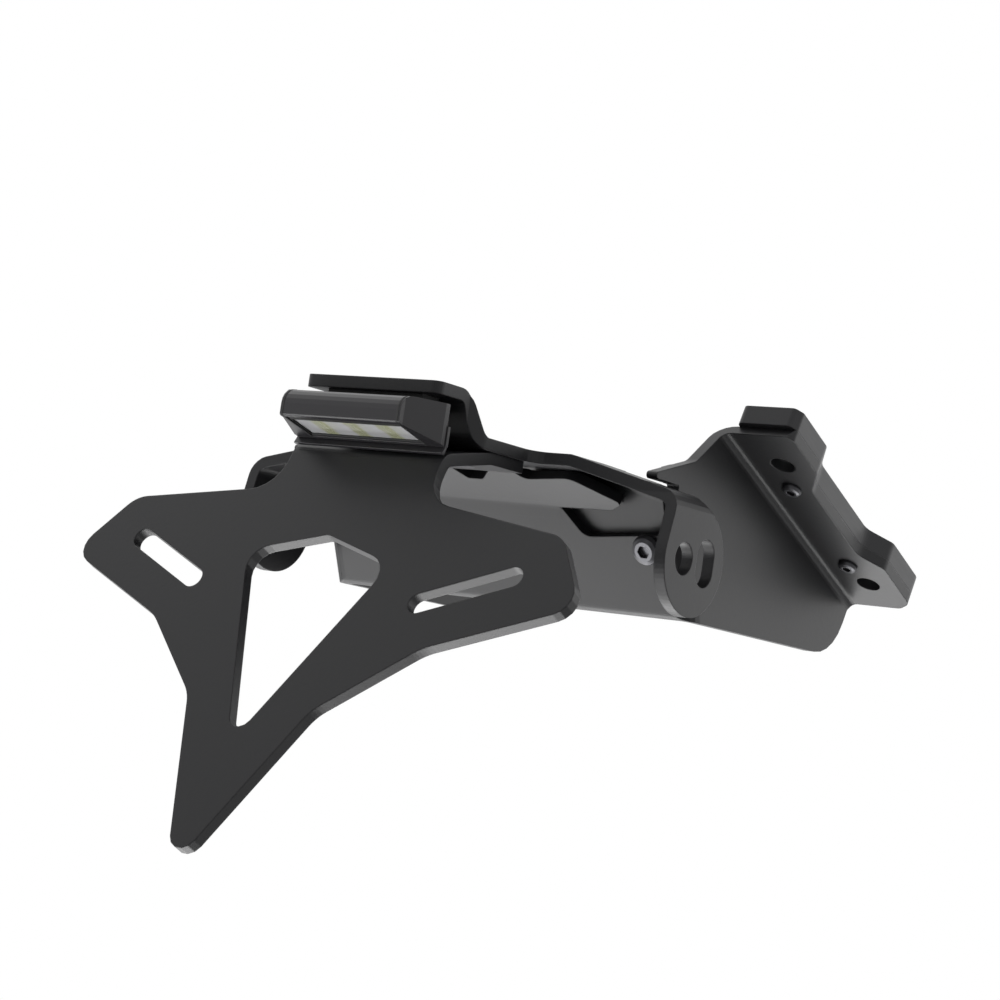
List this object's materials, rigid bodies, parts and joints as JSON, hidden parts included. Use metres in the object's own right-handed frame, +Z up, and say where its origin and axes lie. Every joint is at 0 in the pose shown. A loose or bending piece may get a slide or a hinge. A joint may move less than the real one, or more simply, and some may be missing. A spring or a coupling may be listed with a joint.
{
  "type": "tail tidy",
  "caption": "Motorcycle tail tidy: folded sheet brackets for number plate, rear indicators and tail mounting, with spacers and a plate lamp under a hood.",
  "frame": {"origin": "centre of the four mounting holes, on the level of the spacers' top faces, where the part meets the motorcycle", "axes": "+X to the rider's right, +Y to the front of the motorcycle, +Z up; the number plate faces -Y"},
  "size_m": [0.2002, 0.2084, 0.2124],
  "materials": {
    "black_sheet": "satin",
    "black_spacer": "satin",
    "dark_steel": "satin",
    "lamp_case": "matte",
    "lamp_lens": "gloss",
    "lamp_board": "satin",
    "lamp_diode": "gloss",
    "rubber": "matte"
  },
  "bodies": {
    "root": {"number_plate_bracket": "black_sheet", "indicator_bracket": "black_sheet", "mounting_bracket": "black_sheet", "spacer_left": "black_spacer", "spacer_right": "black_spacer", "spacer_screws": "dark_steel", "panel_screws": "dark_steel", "panel_washers": "dark_steel", "panel_nuts": "dark_steel", "plate_bolts": "dark_steel", "plate_washers": "dark_steel", "plate_nuts": "dark_steel", "lamp_housing": "lamp_case", "lamp_cap_left": "lamp_case", "lamp_cap_right": "lamp_case", "lamp_lens": "lamp_lens", "lamp_board": "lamp_board", "lamp_diodes": "lamp_diode", "lamp_back_cover": "lamp_case", "lamp_pad": "rubber", "lamp_screws": "dark_steel", "lamp_grommet": "rubber"}
  },
  "joints": []
}
